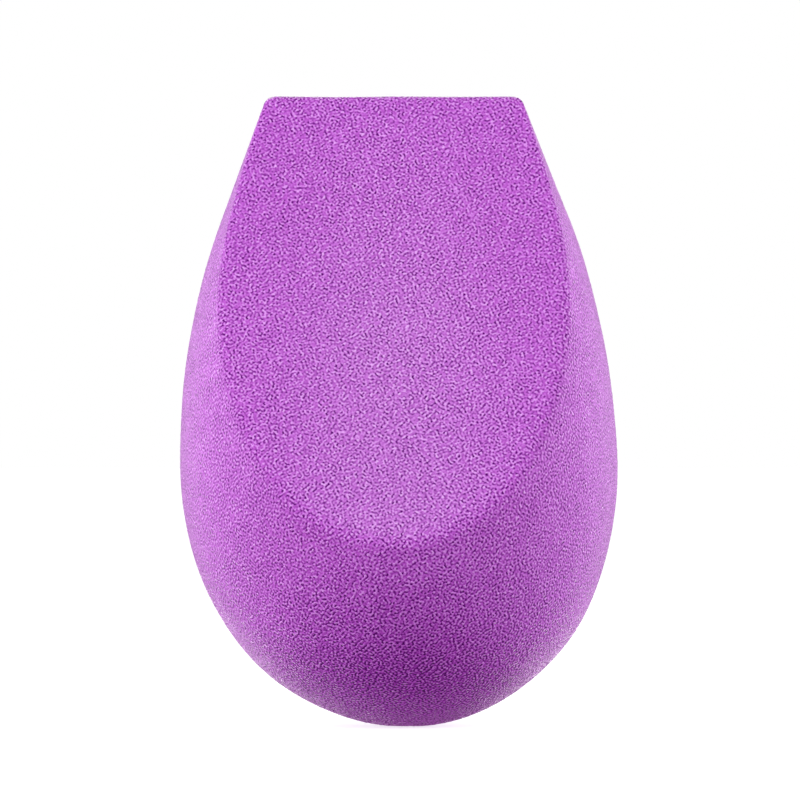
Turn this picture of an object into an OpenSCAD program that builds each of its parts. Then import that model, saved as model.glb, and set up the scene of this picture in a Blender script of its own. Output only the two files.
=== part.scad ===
// Makeup sponge: one moulded piece of open-cell foam, standing on its round end.
// It is an egg with two cuts: a slanted one for the flat blending face in front (-Y)
// and a level one for the flat top. The origin is the centre of the resting patch.

/* [Egg] */
// Height of the sponge, from the resting patch to the flat top
sponge_h = 60; // [56:0.5:66]
// Greatest diameter
belly_d = 41.7; // [38:0.1:46]
// Height of the greatest diameter above the resting patch
belly_h = 24.6; // [22:0.1:26]
// Radius of the arc that draws the side in above the belly
side_r = 68; // [56:0.5:80]
// Angle of the straight upper side from the vertical
side_angle = 21; // [16:0.5:24]
// Depth of the flat patch on which the round end rests
foot_depth = 0.5; // [0.3:0.05:0.8]

/* [Slanted face] */
// Angle of the face from the vertical
face_angle = 25; // [20:0.5:32]
// Height at which the face crosses the axis of the egg
face_axis_h = 60.9; // [55:0.1:63]
// Softness of the face's edge where it reaches the top
edge_soft_top = 0.5; // [0.3:0.1:1.5]
// Softness of the face's edge where it runs out in the belly
edge_soft_tip = 1.4; // [0.8:0.1:4]

/* [Flat top] */
// Radius of the rounded rim round the top
rim_r = 0.9; // [0.4:0.1:2]

/* [Fineness] */
// Levels below the belly
bowl_steps = 34; // [16:1:40]
// Levels on the sides above the belly
side_steps = 31; // [20:1:40]
// Levels on the rounded rim
rim_steps = 5; // [3:1:8]
// Points from the middle of the face to its rounded edge
face_steps = 9; // [4:1:12]
// Points on each half of the rounded edge
edge_steps = 2; // [2:1:4]
// Points from the rounded edge to the middle of the back
back_steps = 19; // [14:1:24]

/* [Hidden] */

foam_colour = [0.73, 0.42, 0.80];

belly_r = belly_d / 2;

// Below the belly the egg is half an ellipsoid, whose lowest point the foot cuts off.
bowl_h = belly_h + foot_depth;
foot_turn = acos(belly_h / bowl_h);

// Above the belly an arc turns until it has the straight side's angle.
straight_h = belly_h + side_r * sin(side_angle);

// Smallest angle, seen from above, that the edge's column of points keeps from the front:
// below it the face has run out into the belly.
tip_turn = 25;

// Radius of the whole egg at height h
function egg_r(h) =
    h < belly_h ? belly_r * sqrt(1 - pow((belly_h - h) / bowl_h, 2))
    : belly_r - side_r + sqrt(pow(side_r, 2) - pow(min(h, straight_h) - belly_h, 2))
        - max(h - straight_h, 0) * tan(side_angle);

// Distance of the slanted face in front of the axis at height h, less than zero behind it
function face_reach(h) = (face_axis_h - h) * tan(face_angle);

// How far the rounded rim draws a side in at height h. The rim is an arc that touches
// the flat top and the side, which leans by angle lean.
function rim_inset(h, lean) =
    let (up = h - (sponge_h - rim_r))
    up <= rim_r * sin(lean) ? 0
    : rim_r / cos(lean) - up * tan(lean) - sqrt(max(pow(rim_r, 2) - pow(up, 2), 0));

// The two radii of a slice, with the rim's rounding
function slice_r(h) = egg_r(h) - rim_inset(h, side_angle);
function slice_face(h) = face_reach(h) - rim_inset(h, face_angle);

// The slices' middles lie on a line that leans back, so that each is inside its slice.
top_middle_y = (egg_r(sponge_h) - face_reach(sponge_h)) / 2;
function middle_y(h) = top_middle_y * h / sponge_h;

// The lesser of two distances, eased over the width soft where they are nearly alike
function eased_min(a, b, soft) =
    min(a, b) - pow(max(soft - abs(a - b), 0), 2) / (4 * soft);

// Distance from a slice's middle to its round side and to its face, turned from the front
function to_side(h, turn) =
    let (m = middle_y(h), along = m * cos(turn))
    along + sqrt(pow(slice_r(h), 2) - pow(m, 2) + pow(along, 2));
function to_face(h, turn) = (slice_face(h) + middle_y(h)) / cos(turn);

// The edge is crisp near the top and softens as the face nears the belly.
function edge_soft(h) =
    let (run_out_share = max(min(face_reach(h) / egg_r(h), 1), 0))
    edge_soft_top + (edge_soft_tip - edge_soft_top) * pow(run_out_share, 3);

function outline(h, turn) =
    let (side = to_side(h, turn), soft = edge_soft(h))
    cos(turn) * (side + soft) <= slice_face(h) + middle_y(h) ? side
    : eased_min(side, to_face(h, turn), soft);

// Turn from the front at which the face meets the round side
function edge_turn(h) =
    let (reach = slice_face(h), across = sqrt(max(pow(slice_r(h), 2) - pow(reach, 2), 0)))
    max(atan2(across, reach + middle_y(h)), tip_turn);
function edge_half_turn(h) = atan(edge_soft(h) / slice_r(h));

// Turns of one half of a slice's points: the face, its rounded edge and the back
function half_turns(h) =
    let (edge = edge_turn(h), half = edge_half_turn(h))
    concat(
        [for (i = [0 : face_steps - 1]) (edge - half) * i / face_steps],
        [for (i = [-edge_steps : edge_steps]) edge + half * i / edge_steps],
        [for (i = [1 : back_steps]) edge + half + (180 - edge - half) * i / back_steps]);

half_count = face_steps + 2 * edge_steps + 1 + back_steps;
slice_count = 2 * half_count - 2;

function slice_points(h) =
    let (turns = half_turns(h))
    [for (i = [0 : slice_count - 1])
        let (
            right = i < half_count,
            turn = turns[right ? i : slice_count - i],
            reach = outline(h, turn),
            x = reach * sin(turn))
        [right ? x : -x, middle_y(h) - reach * cos(turn), h]];

// Heights of the slices: even turns round the bowl and the rim, even steps between
rim_start_h = sponge_h - rim_r;
levels = concat(
    [for (i = [0 : bowl_steps - 1])
        belly_h - bowl_h * cos(foot_turn + (90 - foot_turn) * i / bowl_steps)],
    [for (i = [0 : side_steps]) belly_h + (rim_start_h - belly_h) * i / side_steps],
    [for (i = [1 : rim_steps]) rim_start_h + rim_r * sin(90 * i / rim_steps)]);

// Joins a stack of slices with the same count of points into one closed skin. Each end is
// closed by a fan of triangles round its middle.
module stacked(slices, count, foot_middle, top_middle) {
    last = len(slices) - 1;
    foot_point = len(slices) * count;
    top_point = foot_point + 1;
    points = concat([for (slice = slices) each slice], [foot_middle, top_middle]);
    skin = [for (k = [0 : last - 1], i = [0 : count - 1])
        let (
            a = k * count + i,
            b = k * count + (i + 1) % count,
            c = a + count,
            d = b + count)
        each i < count / 2 ? [[a, d, b], [a, c, d]] : [[a, c, b], [c, d, b]]];
    foot = [for (i = [0 : count - 1]) [foot_point, i, (i + 1) % count]];
    top = [for (i = [0 : count - 1])
        [top_point, last * count + (i + 1) % count, last * count + i]];
    polyhedron(points, concat(foot, skin, top), convexity = 2);
}

module foam_body() {
    color(foam_colour)
        stacked(
            [for (h = levels) slice_points(h)],
            slice_count,
            [0, middle_y(0), 0],
            [0, middle_y(sponge_h), sponge_h]);
}

foam_body();
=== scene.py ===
import math

import bpy
import numpy as np
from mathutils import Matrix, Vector


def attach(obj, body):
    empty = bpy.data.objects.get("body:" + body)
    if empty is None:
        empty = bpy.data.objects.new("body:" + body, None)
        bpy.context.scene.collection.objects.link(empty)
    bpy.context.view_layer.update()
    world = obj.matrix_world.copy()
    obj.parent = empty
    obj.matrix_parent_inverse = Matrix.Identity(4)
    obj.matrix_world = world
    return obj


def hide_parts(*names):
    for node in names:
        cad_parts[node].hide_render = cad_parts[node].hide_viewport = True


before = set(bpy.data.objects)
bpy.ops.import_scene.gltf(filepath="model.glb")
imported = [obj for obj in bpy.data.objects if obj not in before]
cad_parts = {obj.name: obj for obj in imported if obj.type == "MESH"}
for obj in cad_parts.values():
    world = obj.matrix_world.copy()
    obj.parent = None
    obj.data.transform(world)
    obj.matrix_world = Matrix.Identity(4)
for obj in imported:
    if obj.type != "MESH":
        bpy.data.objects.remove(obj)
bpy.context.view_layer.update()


# The sponge: one block of open-celled polyurethane foam, dyed right through and moulded as
# an egg with a fine, velvety skin. A knife then slices a broad face off at a slant and cuts
# the narrow end off level, and leaves the cells of both cuts open.

# Lengths are in millimetres here, and become metres when the mesh is made.
MILLIMETRE = 0.001
EGG_HEIGHT, BELLY_RADIUS, BELLY_HEIGHT, FOOT_DEPTH = 60.0, 20.85, 24.6, 0.1
SIDE_RADIUS, SIDE_ANGLE = 68.0, math.radians(21)
FACE_ANGLE, FACE_AXIS_HEIGHT = math.radians(25), 60.9
EDGE_SOFT_TOP, EDGE_SOFT_TIP, RIM_RADIUS = 0.8, 0.6, 1.2
BOWL_FULLNESS, FOOT_LEAN, LEAN = 0.33, 0.35, 0.0125
RINGS, TOP_RINGS, FOOT_RINGS, POINTS_ROUND = 520, 56, 16, 900
SIDE_SAMPLES = 20001


def egg_radius(height):
    """Radius of the uncut egg at a height: half an ellipse, a little fuller halfway down,
    under the widest place; above it an arc that leans in until it reaches the side angle,
    and then a straight cone."""
    bowl = BELLY_HEIGHT + FOOT_DEPTH
    straight = BELLY_HEIGHT + SIDE_RADIUS * math.sin(SIDE_ANGLE)
    share = np.clip((BELLY_HEIGHT - height) / bowl, 0, 1) ** 2
    low = BELLY_RADIUS * np.sqrt(1 - share) + BOWL_FULLNESS * (4 * share * (1 - share)) ** 2
    climb = np.minimum(height, straight) - BELLY_HEIGHT
    high = BELLY_RADIUS - SIDE_RADIUS + np.sqrt(SIDE_RADIUS**2 - np.maximum(climb, 0) ** 2)
    high = high - np.maximum(height - straight, 0) * math.tan(SIDE_ANGLE)
    return np.where(height < BELLY_HEIGHT, low, high)


def face_reach(height):
    """Distance from the egg's axis to the slanted face at a height: a straight line."""
    return (FACE_AXIS_HEIGHT - height) * math.tan(FACE_ANGLE)


def rim_inset(height, lean):
    """How far the small round at the top rim draws a wall in: an arc that starts square to
    a wall leaning by the angle lean and ends level with the top."""
    up = height - (EGG_HEIGHT - RIM_RADIUS)
    arc = np.sqrt(np.maximum(RIM_RADIUS**2 - np.maximum(up, 0) ** 2, 0))
    inset = RIM_RADIUS / math.cos(lean) - up * math.tan(lean) - arc
    return np.where(up <= RIM_RADIUS * math.sin(lean), 0.0, inset)


def eased_min(first, second, soft):
    """The lesser of two lengths, with the corner where they cross eased over the length
    soft by a square curve."""
    close = np.maximum(soft - np.abs(first - second), 0)
    return np.minimum(first, second) - close**2 / (4 * soft)


# The middles of the slices lie on a line that leans back this far on its way to the top.
TOP_MIDDLE = float(egg_radius(np.array(EGG_HEIGHT)) - face_reach(EGG_HEIGHT)) / 2


def outline(height, turn):
    """Distance of the cut egg's wall from its slice's middle, for heights and turns (nought
    looks at the slanted face): the nearer of the egg's circle and the slanted face. Also
    returns the share of the cut, from nought on the skin to one on the face."""
    middle = TOP_MIDDLE * height / EGG_HEIGHT
    radius = egg_radius(height) - rim_inset(height, SIDE_ANGLE)
    face = face_reach(height) - rim_inset(height, FACE_ANGLE)
    cosine = np.cos(turn)
    inner = radius**2 - middle**2 + (middle * cosine) ** 2
    side = middle * cosine + np.sqrt(np.maximum(inner, 0))
    blend = np.clip(face_reach(height) / np.maximum(egg_radius(height), 1e-6), 0, 1) ** 3
    soft = EDGE_SOFT_TOP + (EDGE_SOFT_TIP - EDGE_SOFT_TOP) * blend
    clear = cosine * (side + soft) <= face + middle
    to_face = (face + middle) / np.where(clear, 1.0, np.maximum(cosine, 1e-3))
    wall = np.where(clear, side, eased_min(side, to_face, soft))
    return wall, np.where(clear, 0.0, np.clip((side - to_face) / soft, 0, 1))


def ring_heights():
    """Heights of the rings, evenly spaced along the egg's own side, so that they crowd near
    the foot, where the wall lies flat, and at the round of the rim."""
    height = EGG_HEIGHT * (1 - np.cos(np.linspace(0, math.pi, SIDE_SAMPLES))) / 2
    radius = egg_radius(height) - rim_inset(height, SIDE_ANGLE)
    along = np.concatenate([[0], np.cumsum(np.hypot(np.diff(height), np.diff(radius)))])
    return np.interp(np.linspace(0, along[-1], RINGS), along, height)


def foam_surface():
    """Rings of points from the middle of the foot, up the wall and in to the middle of the
    top. Returns the points, and how far each lies on a cut, from nought to one."""
    turn = np.arange(POINTS_ROUND) * 2 * math.pi / POINTS_ROUND
    height = ring_heights()
    foot_share = np.linspace(0, 1, FOOT_RINGS)[1:-1]
    top_share = np.linspace(1, 0, TOP_RINGS)[1:-1]
    wall, cut = outline(height[:, None], turn[None, :])
    heights = np.concatenate([
        np.zeros(len(foot_share)), height, np.full(len(top_share), EGG_HEIGHT)])
    reach = np.concatenate([
        foot_share[:, None] * wall[:1], wall, top_share[:, None] * wall[-1:]])
    cut = np.concatenate([
        np.zeros((len(foot_share), POINTS_ROUND)), cut,
        np.ones((len(top_share), POINTS_ROUND))])
    middle = TOP_MIDDLE * heights / EGG_HEIGHT
    under = np.maximum(1 - heights / BELLY_HEIGHT, 0) ** 2
    leaning = LEAN * (EGG_HEIGHT / 2 - heights) + FOOT_LEAN * under
    across = reach * np.sin(turn) + leaning[:, None]
    back = middle[:, None] - reach * np.cos(turn)
    upright = np.broadcast_to(heights[:, None], reach.shape)
    return np.stack([across, back, upright], axis=-1), cut


def random_waves(points, shortest, longest, count, seed):
    """A random swell of unit spread: a sum of plane waves whose lengths lie between the
    shortest and the longest, and whose directions and phases are drawn at random."""
    chance = np.random.default_rng(seed)
    ways = chance.normal(size=(count, 3))
    ways *= 2 * math.pi / np.linalg.norm(ways, axis=1, keepdims=True)
    ways /= chance.uniform(shortest, longest, (count, 1))
    phases = chance.uniform(0, 2 * math.pi, count)
    total = np.zeros(len(points))
    for way, phase in zip(ways, phases):
        total += np.cos(points @ way + phase)
    return total * math.sqrt(2 / count)


def closed_grid_mesh(name, grid):
    """A closed skin from rings of points: quads between neighbouring rings and a fan of
    triangles around one middle point at each end. Faces look outwards."""
    rings, round_ = grid.shape[:2]
    points = grid.reshape(-1, 3)
    foot, top = points[:round_].mean(axis=0), points[-round_:].mean(axis=0)
    points = np.concatenate([points, [foot, top]])
    start = np.arange(rings * round_).reshape(rings, round_)
    after = np.roll(start, -1, axis=1)
    quads = np.stack([start[:-1], start[1:], after[1:], after[:-1]], axis=-1).reshape(-1, 4)
    middle = np.full(round_, rings * round_)
    fans = np.concatenate([np.stack([middle, start[0], after[0]], axis=-1),
                           np.stack([middle + 1, after[-1], start[-1]], axis=-1)])
    corners = np.concatenate([quads.ravel(), fans.ravel()]).astype(np.int32)
    sides = np.concatenate([np.full(len(quads), 4), np.full(len(fans), 3)])
    mesh = bpy.data.meshes.new(name)
    mesh.vertices.add(len(points))
    mesh.vertices.foreach_set("co", (points * MILLIMETRE).astype(np.float32).ravel())
    mesh.loops.add(len(corners))
    mesh.loops.foreach_set("vertex_index", corners)
    mesh.polygons.add(len(sides))
    mesh.polygons.foreach_set("loop_start", (np.cumsum(sides) - sides).astype(np.int32))
    mesh.polygons.foreach_set("use_smooth", np.ones(len(sides), dtype=bool))
    mesh.update(calc_edges=True)
    mesh.validate()
    return mesh


SEAM_HEIGHT, SHEET_GAP = 6.0, 0.4


def lay_flat(mesh, grid):
    """Gives a mesh made by closed_grid_mesh a map for baked pictures, laid out like cut
    sheets: the foot below the seam as a disc, the wall above it as a front and a back
    oblong, and the top as it is seen from above. A corner's place follows from its ring
    and its point, and lengths along the wall are kept."""
    rings, round_ = grid.shape[:2]
    ends = [np.broadcast_to(ring.mean(axis=0), (1, round_, 3)) for ring in (grid[0], grid[-1])]
    whole = np.concatenate([ends[0], grid, ends[1]])
    steps = np.linalg.norm(np.diff(whole, axis=0), axis=-1).mean(axis=1)
    along = np.concatenate([[0], np.cumsum(steps)])
    low, top = np.searchsorted(whole[:, 0, 2], (SEAM_HEIGHT, EGG_HEIGHT))

    # Each corner's ring and point, and those of the face that it belongs to.
    own_ring, own_point = (part.ravel() for part in np.indices((rings - 1, round_)))
    each = np.arange(round_)
    ring = np.concatenate([
        (own_ring[:, None] + [1, 2, 2, 1]).ravel(),
        np.tile([0, 1, 1], round_),
        np.tile([rings + 1, rings, rings], round_)])
    point = np.concatenate([
        (own_point[:, None] + [0, 0, 1, 1]).ravel(),
        (each[:, None] + [0, 0, 1]).ravel(),
        (each[:, None] + [0, 1, 0]).ravel()])
    own_ring = np.concatenate([
        np.repeat(own_ring + 1, 4), np.zeros(3 * round_), np.full(3 * round_, rings)])
    own_point = np.concatenate([
        np.repeat(own_point, 4), np.repeat(each, 3), np.repeat(each, 3)])

    quarter, width = round_ // 4, math.pi * BELLY_RADIUS
    tall, reach = along[top] - along[low], along[low]
    at_back = (own_point >= quarter) & (own_point < 3 * quarter)
    past_front = own_point >= 3 * quarter
    across = (point + quarter * np.where(at_back, -1, 1)) / (2 * quarter) - 2 * past_front
    upwards = along[ring] - reach + at_back * (tall + SHEET_GAP)
    wall = np.stack([across * width, upwards], axis=-1)
    turn = point * 2 * math.pi / round_
    disc = along[ring, None] * np.stack([np.cos(turn), np.sin(turn)], axis=-1)
    disc += [width + SHEET_GAP + reach, reach]
    seen = whole[ring, point % round_, :2] - whole[top:, :, :2].min(axis=(0, 1))
    seen += [width + SHEET_GAP, 2 * reach + SHEET_GAP]
    place = np.where((own_ring >= top)[:, None], seen, wall)
    place = np.where((own_ring < low)[:, None], disc, place)
    sheet = [width + 3 * SHEET_GAP + 2 * reach, 2 * tall + 3 * SHEET_GAP]
    place = (place + SHEET_GAP) / sheet
    flat = mesh.uv_layers.new(name="OFBake")
    flat.uv.foreach_set("vector", place.astype(np.float32).ravel())


def skin_directions(grid):
    """Three unit vectors at each point of the smooth skin: outwards, along the ring, and
    square to both. The first is the cross product of the steps around and up the rings."""
    around = np.roll(grid, -1, axis=1) - np.roll(grid, 1, axis=1)
    outwards = np.cross(around, np.gradient(grid, axis=0))
    outwards /= np.maximum(np.linalg.norm(outwards, axis=-1, keepdims=True), 1e-9)
    around /= np.maximum(np.linalg.norm(around, axis=-1, keepdims=True), 1e-9)
    return (way.reshape(-1, 3) for way in (outwards, around, np.cross(outwards, around)))


# Lengths and counts of the waves that make the pores, the gentle swells of the whole block
# and its mottled dye. Pores and swells rise by a height for each spread of their waves, and
# are sunk by a spread or two, so that they hardly make the sponge any wider.
PORE_SHORTEST, PORE_LONGEST, PORE_WAVES = 0.40, 0.55, 96
SWELL_SHORTEST, SWELL_LONGEST, SWELL_WAVES = 7.0, 14.0, 40
MOTTLE_SHORTEST, MOTTLE_LONGEST, MOTTLE_WAVES = 0.8, 3.5, 60
SKIN_RELIEF, CUT_RELIEF, PORE_SUNK = 0.010, 0.012, 2
SWELL_HEIGHT, SWELL_SUNK = 0.02, 1

grid, cut = foam_surface()
outwards, around, upwards = skin_directions(grid)
points, cut = grid.reshape(-1, 3), cut.ravel()
pore = random_waves(points, PORE_SHORTEST, PORE_LONGEST, PORE_WAVES, seed=11)
swell = random_waves(points, SWELL_SHORTEST, SWELL_LONGEST, SWELL_WAVES, seed=5)
mottle = random_waves(points, MOTTLE_SHORTEST, MOTTLE_LONGEST, MOTTLE_WAVES, seed=23)
relief = SKIN_RELIEF + (CUT_RELIEF - SKIN_RELIEF) * cut
rise = relief * (pore - PORE_SUNK) + SWELL_HEIGHT * (swell - SWELL_SUNK)
sunk = points + outwards * rise[:, None]
sunk[:, 2] = np.clip(sunk[:, 2], 0, EGG_HEIGHT)
foam_mesh = closed_grid_mesh("sponge_foam", sunk.reshape(grid.shape))
lay_flat(foam_mesh, grid)
foam = bpy.data.objects.new("sponge_foam", foam_mesh)
bpy.context.scene.collection.objects.link(foam)


def rising(value, length):
    """Nought below nought, then a straight climb to one at the length."""
    return np.clip(value / length, 0, 1)


def hump(value, width):
    """A smooth hump: one at nought, and less on both sides as a bell curve."""
    return np.exp(-(value / width) ** 2)


# How strong the grain is: on the cuts; on the skin, more low on the bowl and less where it
# looks to a side, so that its painted shade in the pores follows how the light falls there;
# and how much it varies from pore to pore.
CUT_GRAIN, SKIN_GRAIN, BOWL_GRAIN, SIDE_FADE, PORE_SPREAD = 1.02, 1.12, 0.6, 0.55, 0.42
GRAIN_TOP, GRAIN_LENGTH = 22, 16

# How pale the walls of the cells are, a painted sheen and haze of the lamps: on the cuts, more
# so low down the middle of the slanted face; on the skin, more so above the foot and where it
# looks to a side.
CUT_PALE, FACE_PALE, SKIN_PALE, WALL_PALE, SIDE_PALE = 0.89, 0.9, 0.60, 0.20, 1.9
FACE_WIDTH, FACE_LENGTH, WALL_START, WALL_LENGTH = 10, 22, 5, 12

# How light the foam looks: mottled all over, as its dye varies; on the skin, painted light in
# front under the face and low on both flanks, and painted shade in front just above the foot
# and where it looks to a side.
FRONT_WIDTH, LEVEL_MIDDLE, MOTTLE_DEPTH = 12, 0.5, 0.0085
UNDER_FACE, UNDER_FACE_HEIGHT, UNDER_FACE_LENGTH = 0.025, 16, 4
ABOVE_FOOT, ABOVE_FOOT_HEIGHT, ABOVE_FOOT_LENGTH = 0.052, 5, 3
SIDE_LESS, FLANK, FLANK_TOP, FLANK_LENGTH = 0.033, 0.03, 14, 8

x, z = points[:, 0], points[:, 2]
skin, sideways, front = 1 - cut, outwards[:, 0] ** 2, hump(x, FRONT_WIDTH)

# The grain's painted pore shade is made stronger low on the bowl and weaker at the sides, as
# the light falls there.
grain = CUT_GRAIN * cut + skin * (
    SKIN_GRAIN + BOWL_GRAIN * rising(GRAIN_TOP - z, GRAIN_LENGTH) ** 2) * (
    1 - SIDE_FADE * sideways)
grain *= 1 + PORE_SPREAD * pore

# Painted sheen and haze: paler walls on the cuts, most low down the middle of the face, and on
# the skin above the foot and most at the sides.
pale = cut * (
    CUT_PALE + FACE_PALE * hump(x, FACE_WIDTH) * rising(EGG_HEIGHT - z, FACE_LENGTH))
pale += skin * (
    SKIN_PALE + WALL_PALE * rising(z - WALL_START, WALL_LENGTH) + SIDE_PALE * sideways)

# Painted light under the face and low on the flanks, and painted shade above the foot and at
# the sides; only the mottle is the dye's own.
level = front * (UNDER_FACE * hump(z - UNDER_FACE_HEIGHT, UNDER_FACE_LENGTH)
                 - ABOVE_FOOT * hump(z - ABOVE_FOOT_HEIGHT, ABOVE_FOOT_LENGTH))
level = level - SIDE_LESS * sideways + (
    FLANK * (1 - front) * rising(FLANK_TOP - z, FLANK_LENGTH))
level = LEVEL_MIDDLE + MOTTLE_DEPTH * mottle + skin * level

for label, values in (("pore", pore), ("grain", grain), ("pale", pale), ("level", level)):
    ends = [values[:POINTS_ROUND].mean(), values[-POINTS_ROUND:].mean()]
    values = np.concatenate([values, ends]).astype(np.float32)
    foam_mesh.attributes.new(label, "FLOAT", "POINT").data.foreach_set("value", values)
for label, values in (("around", around), ("upwards", upwards)):
    values = np.concatenate([values, values[:1], values[-1:]]).astype(np.float32).ravel()
    foam_mesh.attributes.new(label, "FLOAT_VECTOR", "POINT").data.foreach_set("vector", values)


# The cells: GRAIN_SCALE of them to the metre, so 0.28 mm each. Their neighbours are taken
# GRAIN_STEP of a cell away, and the noise is turned so that it lines up with nothing.
GRAIN_SCALE, GRAIN_STEP, GRAIN_TURN = 3600, 0.38, (0.61, 0.37, 0.83)
GRAIN_GAIN, PORE_GAIN, TONE_GAIN = 2.6, 0.03, 0.6

# Tones from the bottom of an open cell to the top of a wall, where the dark bottom is the dye
# darkened by a painted shade for the hollow; the whitish lilac of a painted sheen on the
# walls, and how fast a wall takes that on.
CELL_TONES = ((0.18, (0.08, 0.002, 0.12, 1)), (0.34, (0.15, 0.004, 0.215, 1)),
              (0.5, (0.43, 0.054, 0.54, 1)), (0.68, (0.60, 0.207, 0.73, 1)),
              (0.9, (0.67, 0.27, 0.80, 1)))
PAINTED_SHEEN, PAINTED_SHEEN_GAIN, PAINTED_SHEEN_START = (0.75, 0.62, 0.80, 1), 0.4, -0.11

# How deep a cell of the grain is, in metres.
CELL_DEPTH = 0.00012


def foam_material():
    """Dyed foam: deep violet where a cell opens, the dye darkened there by a painted shade for
    the hollow, and lilac on the walls between the cells, paled by a painted sheen. The height
    of the grain is a smooth noise less the mean of its four neighbours, in steps along the
    skin, which leaves cells of one size."""
    material = bpy.data.materials.new("violet_foam")
    material.use_nodes = True
    tree = material.node_tree
    new, link = tree.nodes.new, tree.links.new
    shader = tree.nodes["Principled BSDF"]
    place = new("ShaderNodeTexCoord")

    def attribute(label):
        """A value or a direction that the mesh carries at its points."""
        made = new("ShaderNodeAttribute")
        made.attribute_name = label
        return made

    def weighed(value, by, plus):
        """value times by, plus a number or another value."""
        made = new("ShaderNodeMath")
        made.operation = "MULTIPLY_ADD"
        link(value, made.inputs[0])
        made.inputs[1].default_value = by
        if isinstance(plus, float):
            made.inputs[2].default_value = plus
        else:
            link(plus, made.inputs[2])
        return made.outputs[0]

    def product(first, second):
        """One value times another."""
        made = new("ShaderNodeMath")
        made.operation = "MULTIPLY"
        link(first, made.inputs[0])
        link(second, made.inputs[1])
        return made.outputs[0]

    def noise_beside(direction, steps):
        """Smooth noise at a place some steps to one side, in a direction along the skin."""
        moved, turned = new("ShaderNodeVectorMath"), new("ShaderNodeVectorRotate")
        moved.operation = "MULTIPLY_ADD"
        link(attribute(direction).outputs["Vector"], moved.inputs[0])
        moved.inputs[1].default_value = [steps * GRAIN_STEP / GRAIN_SCALE] * 3
        link(place.outputs["Object"], moved.inputs[2])
        turned.rotation_type = "EULER_XYZ"
        turned.inputs["Rotation"].default_value = GRAIN_TURN
        link(moved.outputs[0], turned.inputs["Vector"])
        noise = new("ShaderNodeTexNoise")
        noise.inputs["Scale"].default_value = GRAIN_SCALE
        noise.inputs["Detail"].default_value = 0
        link(turned.outputs[0], noise.inputs["Vector"])
        return noise.outputs["Fac"]

    height = weighed(noise_beside("around", 0), GRAIN_GAIN, 0.0)
    for direction in ("around", "upwards"):
        for steps in (-1, 1):
            height = weighed(noise_beside(direction, steps), -GRAIN_GAIN / 4, height)
    height = weighed(attribute("pore").outputs["Fac"], PORE_GAIN, height)
    cells = product(height, attribute("grain").outputs["Fac"])
    tone = weighed(cells, TONE_GAIN, attribute("level").outputs["Fac"])

    shade = new("ShaderNodeValToRGB")
    for position, colour in CELL_TONES:
        shade.color_ramp.elements.new(position).color = colour
    shade.color_ramp.elements.remove(shade.color_ramp.elements[0])
    shade.color_ramp.elements.remove(shade.color_ramp.elements[-1])
    link(tone, shade.inputs["Fac"])
    # A painted sheen: the lighter walls are mixed towards a whitish lilac, as much as the pale
    # attribute says.
    painted_sheen_mix = new("ShaderNodeMix")
    painted_sheen_mix.data_type = "RGBA"
    painted_sheen_mix.inputs["B"].default_value = PAINTED_SHEEN
    painted_sheen_share = product(attribute("pale").outputs["Fac"], weighed(tone, PAINTED_SHEEN_GAIN, PAINTED_SHEEN_START))
    link(painted_sheen_share, painted_sheen_mix.inputs["Factor"])
    link(shade.outputs["Color"], painted_sheen_mix.inputs["A"])
    link(painted_sheen_mix.outputs["Result"], shader.inputs["Base Color"])

    bump = new("ShaderNodeBump")
    bump.inputs["Strength"].default_value = 1.0
    bump.inputs["Distance"].default_value = CELL_DEPTH
    link(height, bump.inputs["Height"])
    link(bump.outputs["Normal"], shader.inputs["Normal"])
    shader.inputs["Roughness"].default_value = 0.7
    shader.inputs["Specular IOR Level"].default_value = 0.05
    shader.inputs["Sheen Weight"].default_value = 0.9
    shader.inputs["Sheen Roughness"].default_value = 0.24
    shader.inputs["Sheen Tint"].default_value = (1.0, 0.88, 1.0, 1)
    return material


foam_mesh.materials.append(foam_material())
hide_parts("foam_body")
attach(foam, "root")


# The floor: a plain sheet of pale paper, laid flat under the sponge. It is no part of the
# sponge, keeps its soft shadow, and gives it a painted bounce light: a violet glow that all
# rays see except those from the camera, in gloss and through glass.

# Lengths are in metres from here on.
FLOOR_HALF, PAPER = 3, (0.5, 0.5, 0.5, 1)
GLOW_NEAR, GLOW_FAR, GLOW_UNDER, GLOW_AROUND = 0.04, 0.14, 0.75, 1.0
# Painted bounce light: the violet glow that the floor gives the sponge, and its strength.
TINTED_LIGHT, TINTED_STRENGTH = (1.0, 0.42, 1.0, 1), 0.46


def seen_directly(tree):
    """1 for rays from the camera and for rays in gloss and through glass, else nought."""
    ray, either, any_of = (tree.nodes.new("ShaderNode" + kind)
                           for kind in ("LightPath", "Math", "Math"))
    either.operation = any_of.operation = "MAXIMUM"
    tree.links.new(ray.outputs["Is Camera Ray"], either.inputs[0])
    tree.links.new(ray.outputs["Is Glossy Ray"], either.inputs[1])
    tree.links.new(either.outputs[0], any_of.inputs[0])
    tree.links.new(ray.outputs["Is Transmission Ray"], any_of.inputs[1])
    return any_of.outputs[0]


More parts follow.
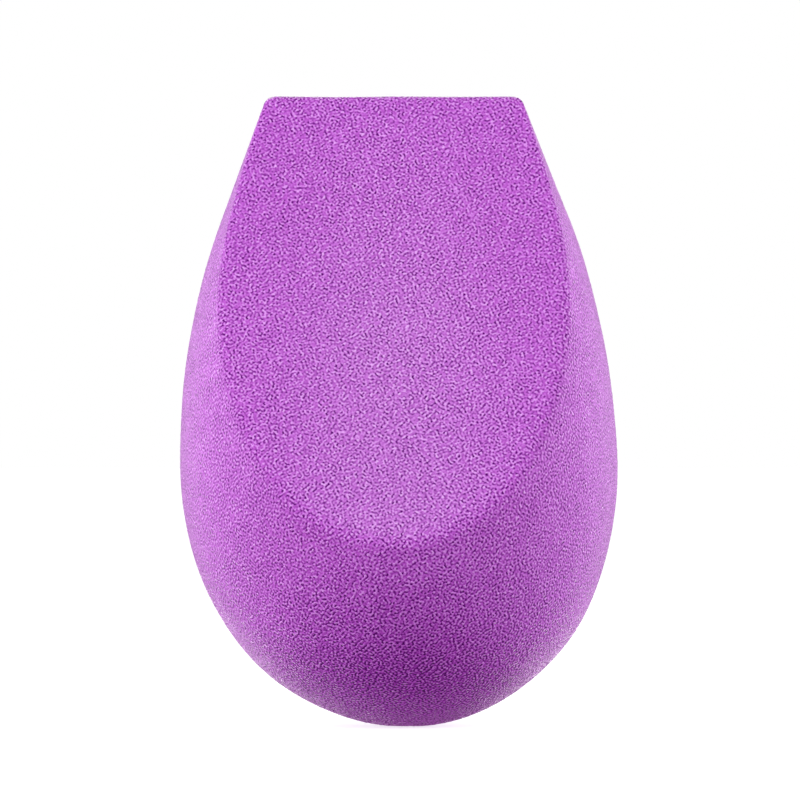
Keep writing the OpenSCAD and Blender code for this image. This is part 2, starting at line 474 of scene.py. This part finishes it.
def floor_material():
    """A matt white sheet: the camera sees it nearly white by itself, so that only the
    shadow shows. All other rays see a fixed violet glow, a painted bounce light that stands
    in for paper lit by the lamps and tinted by the sponge. The glow that the camera sees
    climbs from the middle outwards."""
    material = bpy.data.materials.new("pale_floor")
    material.use_nodes = True
    tree = material.node_tree
    tree.nodes.clear()
    new, link = tree.nodes.new, tree.links.new
    place, apart = new("ShaderNodeTexCoord"), new("ShaderNodeVectorMath")
    apart.operation = "LENGTH"
    link(place.outputs["Object"], apart.inputs[0])
    edge = new("ShaderNodeMapRange")
    edge.interpolation_type = "SMOOTHSTEP"
    edge.inputs["From Min"].default_value = GLOW_NEAR
    edge.inputs["From Max"].default_value = GLOW_FAR
    edge.inputs["To Min"].default_value = GLOW_UNDER
    edge.inputs["To Max"].default_value = GLOW_AROUND
    link(apart.outputs["Value"], edge.inputs["Value"])
    paper, glow = new("ShaderNodeBsdfDiffuse"), new("ShaderNodeEmission")
    paper.inputs["Color"].default_value = PAPER
    link(edge.outputs["Result"], glow.inputs["Strength"])
    both, tinted = new("ShaderNodeAddShader"), new("ShaderNodeEmission")
    link(paper.outputs[0], both.inputs[0])
    link(glow.outputs[0], both.inputs[1])
    tinted.inputs["Color"].default_value = TINTED_LIGHT
    tinted.inputs["Strength"].default_value = TINTED_STRENGTH
    choose, out = new("ShaderNodeMixShader"), new("ShaderNodeOutputMaterial")
    link(seen_directly(tree), choose.inputs[0])
    link(tinted.outputs[0], choose.inputs[1])
    link(both.outputs[0], choose.inputs[2])
    link(choose.outputs[0], out.inputs[0])
    return material


floor_mesh = bpy.data.meshes.new("floor")
floor_mesh.from_pydata(
    [(-FLOOR_HALF, -FLOOR_HALF, 0), (FLOOR_HALF, -FLOOR_HALF, 0),
     (FLOOR_HALF, FLOOR_HALF, 0), (-FLOOR_HALF, FLOOR_HALF, 0)], [], [(0, 1, 2, 3)])
floor = bpy.data.objects.new("floor", floor_mesh)
floor.data.materials.append(floor_material())
bpy.context.scene.collection.objects.link(floor)


# The world: a dim, even light from all round, like that of a white room. It is plain white
# where it is seen.

DIM_LIGHT = 0.15
world = bpy.data.worlds.new("studio")
bpy.context.scene.world = world
world.use_nodes = True
tree = world.node_tree
tree.nodes.clear()
dim, white, choose, out = (
    tree.nodes.new("ShaderNode" + kind)
    for kind in ("Background", "Background", "MixShader", "OutputWorld"))
dim.inputs["Color"].default_value = white.inputs["Color"].default_value = (1, 1, 1, 1)
dim.inputs["Strength"].default_value = DIM_LIGHT
tree.links.new(seen_directly(tree), choose.inputs[0])
tree.links.new(dim.outputs[0], choose.inputs[1])
tree.links.new(white.outputs[0], choose.inputs[2])
tree.links.new(choose.outputs[0], out.inputs[0])


# The lamps: plain white soft boxes. Two wide ones stand in front, one high and one low.
# Smaller ones, two high in front at the sides, one at the left near the floor and two
# behind, brighten the edges.

def soft_box(name, spot, aim_height, width, height, power):
    """An area lamp at spot that looks at a height on the sponge's axis, in metres, and its
    power in watts."""
    lamp = bpy.data.lights.new(name, "AREA")
    lamp.shape = "RECTANGLE"
    lamp.size, lamp.size_y, lamp.energy = width, height, power
    made = bpy.data.objects.new(name, lamp)
    made.location = spot
    looking = Vector((0, 0, aim_height)) - Vector(spot)
    made.rotation_euler = looking.to_track_quat("-Z", "Y").to_euler()
    bpy.context.scene.collection.objects.link(made)


soft_box("high_front_box", (0.0, -0.42, 0.46), 0.03, 0.45, 0.25, 0.10)
soft_box("low_front_box", (0.0, -0.6, 0.16), 0.02, 0.9, 0.2, 0.95)
soft_box("high_left_box", (-0.45, -0.2, 0.3), 0.03, 0.25, 0.25, 2.27)
soft_box("high_right_box", (0.45, -0.2, 0.3), 0.03, 0.25, 0.25, 2.28)
soft_box("low_left_box", (-0.4, -0.12, 0.0), 0.02, 0.25, 0.12, 1.05)
soft_box("left_back_box", (-0.35, 0.3, 0.07), 0.03, 0.3, 0.12, 1.33)
soft_box("right_back_box", (0.35, 0.3, 0.07), 0.03, 0.3, 0.12, 2.03)


# The camera: a long lens, level with the middle of the sponge and turned a little off square
# to its slanted face.

DISTANCE, VIEW_WIDTH, TURNED = 0.8, 0.07619, math.radians(1.5)
ASIDE, EYE_HEIGHT, SENSOR_WIDTH, SIGHT = 0.0002, 0.03106, 36, 20
camera = bpy.data.objects.new("camera", bpy.data.cameras.new("camera"))
bpy.context.scene.collection.objects.link(camera)
camera.data.sensor_width = SENSOR_WIDTH
camera.data.lens = SENSOR_WIDTH * DISTANCE / VIEW_WIDTH
camera.data.clip_end = SIGHT
camera.location = (
    DISTANCE * math.sin(TURNED) + ASIDE, -DISTANCE * math.cos(TURNED), EYE_HEIGHT)
camera.rotation_euler = (math.pi / 2, 0, TURNED)
bpy.context.scene.camera = camera
bpy.context.scene.view_settings.view_transform = "Standard"
